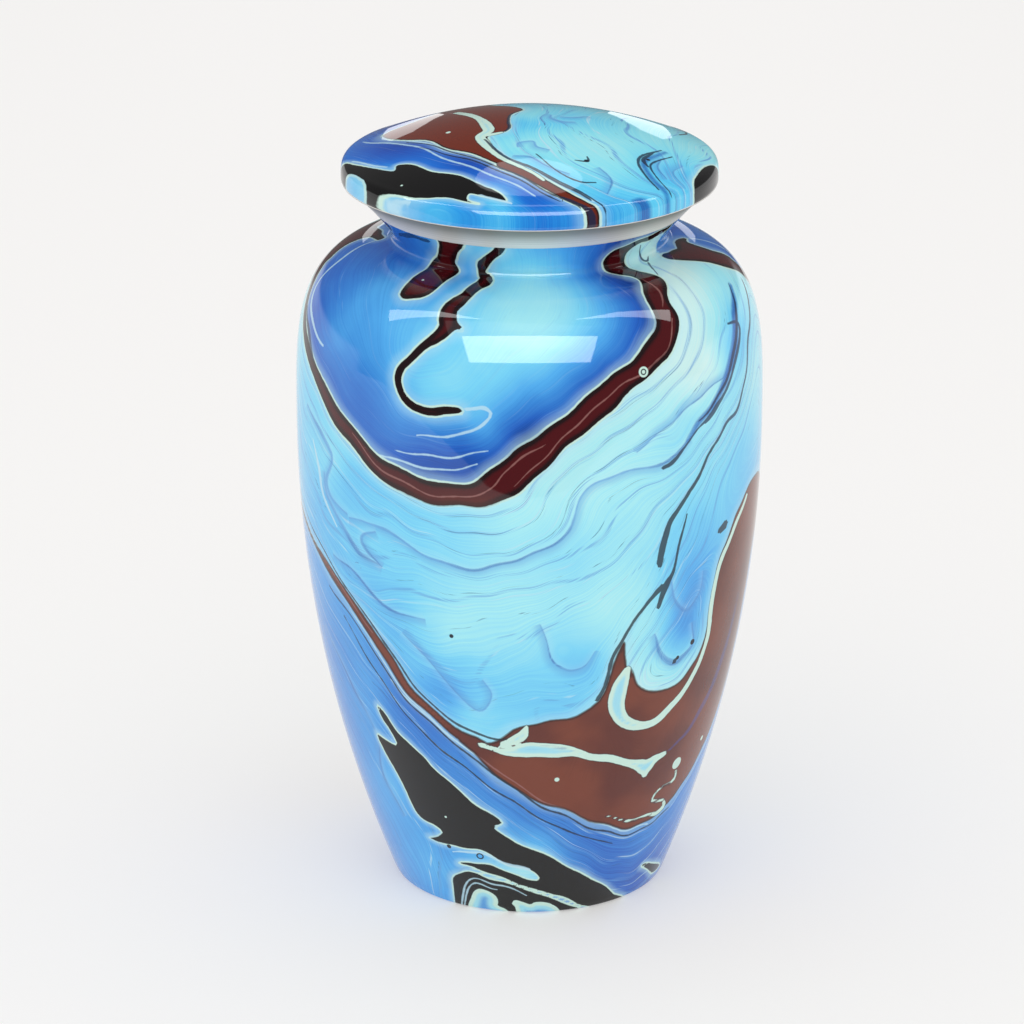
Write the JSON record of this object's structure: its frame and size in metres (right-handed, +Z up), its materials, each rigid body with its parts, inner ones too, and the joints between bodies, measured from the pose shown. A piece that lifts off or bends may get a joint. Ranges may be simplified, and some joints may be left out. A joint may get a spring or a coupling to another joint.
{
  "type": "funeral urn",
  "caption": "Round-shouldered funeral urn with a flared neck and a domed lift-off lid, in a glossy poured-colour finish.",
  "frame": {"origin": "centre of the ring that the urn stands on", "axes": "+Z up the axis of revolution, from the foot to the lid; -Y towards the viewer"},
  "size_m": [0.155, 0.155, 0.2635],
  "materials": {
    "body_lacquer": "gloss clear lacquer over poured blues, aqua and dark brown",
    "lid_lacquer": "gloss clear lacquer over poured aqua, blue and near-black",
    "bare_metal": "bare turned aluminium, satin, on the lip, the inside and the underside"
  },
  "bodies": {
    "root": {"urn_body": "body_lacquer", "urn_lid": "lid_lacquer"}
  },
  "joints": []
}
